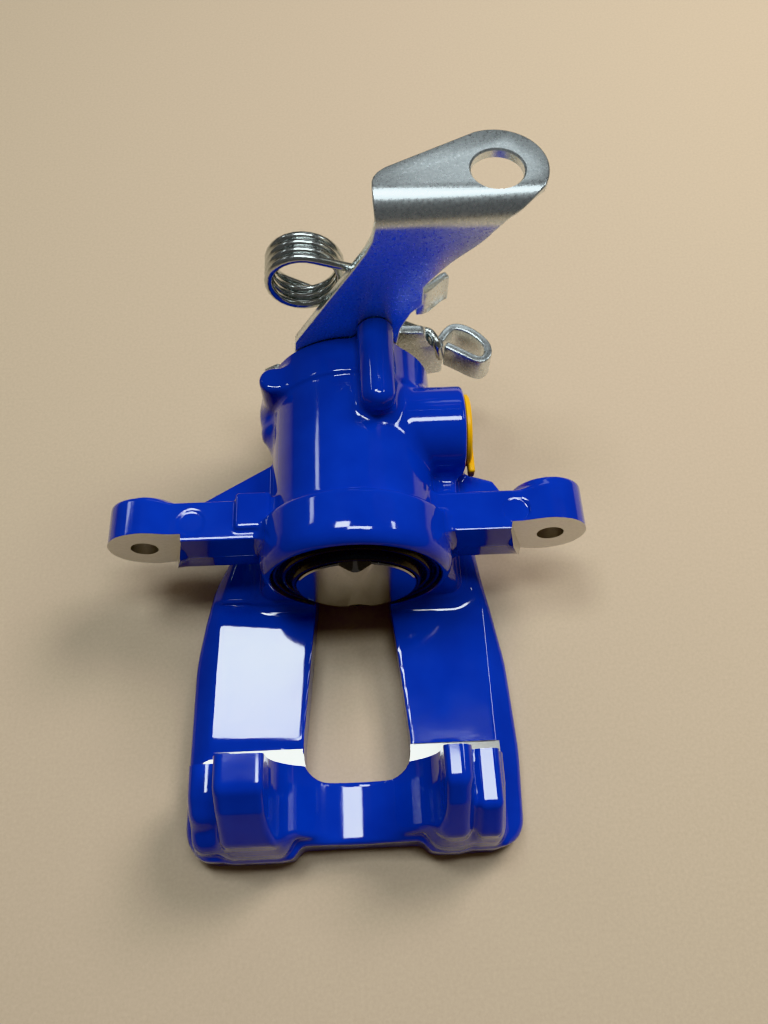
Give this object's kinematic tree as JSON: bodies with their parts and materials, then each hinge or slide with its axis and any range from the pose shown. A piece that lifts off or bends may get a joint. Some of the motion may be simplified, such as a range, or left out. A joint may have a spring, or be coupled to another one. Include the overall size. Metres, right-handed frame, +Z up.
{
  "type": "brake caliper",
  "caption": "Floating rear brake caliper with a built-in parking-brake mechanism: fingers over the disc, one piston, two ears, a cable bracket and a lever.",
  "frame": {"origin": "centre of the piston's front face, on the piston axis", "axes": "+Y along the piston axis to the rear (lever side), +Z up when the caliper lies on the flat back of its bridge, +X to the right seen from the fingers"},
  "size_m": [0.1545, 0.184, 0.122],
  "materials": {
    "blue_paint": "gloss",
    "bright_steel": "polished",
    "hardened_steel": "satin",
    "zinc_plate": "satin",
    "spring_steel": "satin",
    "bronze": "satin",
    "black_rubber": "satin",
    "yellow_plastic": "satin"
  },
  "bodies": {
    "housing": {"caliper_housing": "blue_paint", "piston_seal": "black_rubber", "dust_boot": "black_rubber", "cable_bracket": "zinc_plate", "bracket_bolt_upper": "zinc_plate", "bracket_bolt_side": "zinc_plate", "lever_return_spring": "zinc_plate", "shaft_bush": "bronze", "shaft_seal": "black_rubber", "thrust_washer": "bronze", "spring_cage": "zinc_plate", "cage_circlip": "spring_steel", "ramp_return_spring": "spring_steel", "anti_rotation_pin_1": "bright_steel", "anti_rotation_pin_2": "bright_steel"},
    "lever": {"operating_shaft": "hardened_steel", "parking_brake_lever": "zinc_plate", "lever_washer": "zinc_plate", "lever_nut": "zinc_plate"},
    "ball_cage": {"ball_cage": "bronze"},
    "balls": {"ramp_ball_1": "bright_steel", "ramp_ball_2": "bright_steel", "ramp_ball_3": "bright_steel"},
    "push_plate": {"push_plate": "hardened_steel", "adjuster_spindle": "hardened_steel", "spindle_seal": "black_rubber"},
    "piston": {"piston": "bright_steel", "nut_bearing": "hardened_steel", "clutch_spring": "spring_steel", "piston_circlip": "spring_steel"},
    "adjuster_nut": {"adjuster_nut": "hardened_steel"},
    "bleed_screw": {"bleed_screw": "zinc_plate", "bleed_cap": "black_rubber"},
    "port_plug": {"port_plug": "yellow_plastic"}
  },
  "joints": [
    {"name": "lever_pivot", "type": "hinge", "parent": "housing", "child": "lever", "pos_m": [0, 0.0878, 0], "axis": [0, -1, 0], "range_deg": [0, 30], "stiffness_Nm_per_rad": 0.6, "springref_deg": -20.05, "deforming": ["lever_return_spring"]},
    {"name": "cage_turn", "type": "hinge", "parent": "housing", "child": "ball_cage", "pos_m": [0, 0.0536, 0], "axis": [0, -1, 0], "range_deg": [0, 15.1]},
    {"name": "ball_travel", "type": "slide", "parent": "ball_cage", "child": "balls", "axis": [0, -1, 0], "range_m": [0, 0.00061]},
    {"name": "push_plate_travel", "type": "slide", "parent": "housing", "child": "push_plate", "axis": [0, -1, 0], "range_m": [0, 0.00121], "deforming": ["ramp_return_spring"]},
    {"name": "piston_travel", "type": "slide", "parent": "housing", "child": "piston", "axis": [0, -1, 0], "range_m": [0, 0.018], "deforming": ["dust_boot"]},
    {"name": "nut_turn", "type": "hinge", "parent": "piston", "child": "adjuster_nut", "pos_m": [0, 0.012, 0], "axis": [0, -1, 0], "range_deg": [0, 926]},
    {"name": "bleed_turn", "type": "hinge", "parent": "housing", "child": "bleed_screw", "pos_m": [-0.0245, 0.066, -0.02], "axis": [0, 0, -1], "range_deg": [0, 180]},
    {"name": "plug_pull", "type": "slide", "parent": "housing", "child": "port_plug", "axis": [1, 0, 0], "range_m": [0, 0.012]}
  ],
  "couplings": [
    {"joint": "cage_turn", "follows": "lever_pivot", "ratio": 0.5},
    {"joint": "ball_travel", "follows": "lever_pivot", "m_per_rad": 0.0011459},
    {"joint": "push_plate_travel", "follows": "lever_pivot", "m_per_rad": 0.0022918},
    {"joint": "nut_turn", "follows": "piston_travel", "rad_per_m": 897.6}
  ]
}
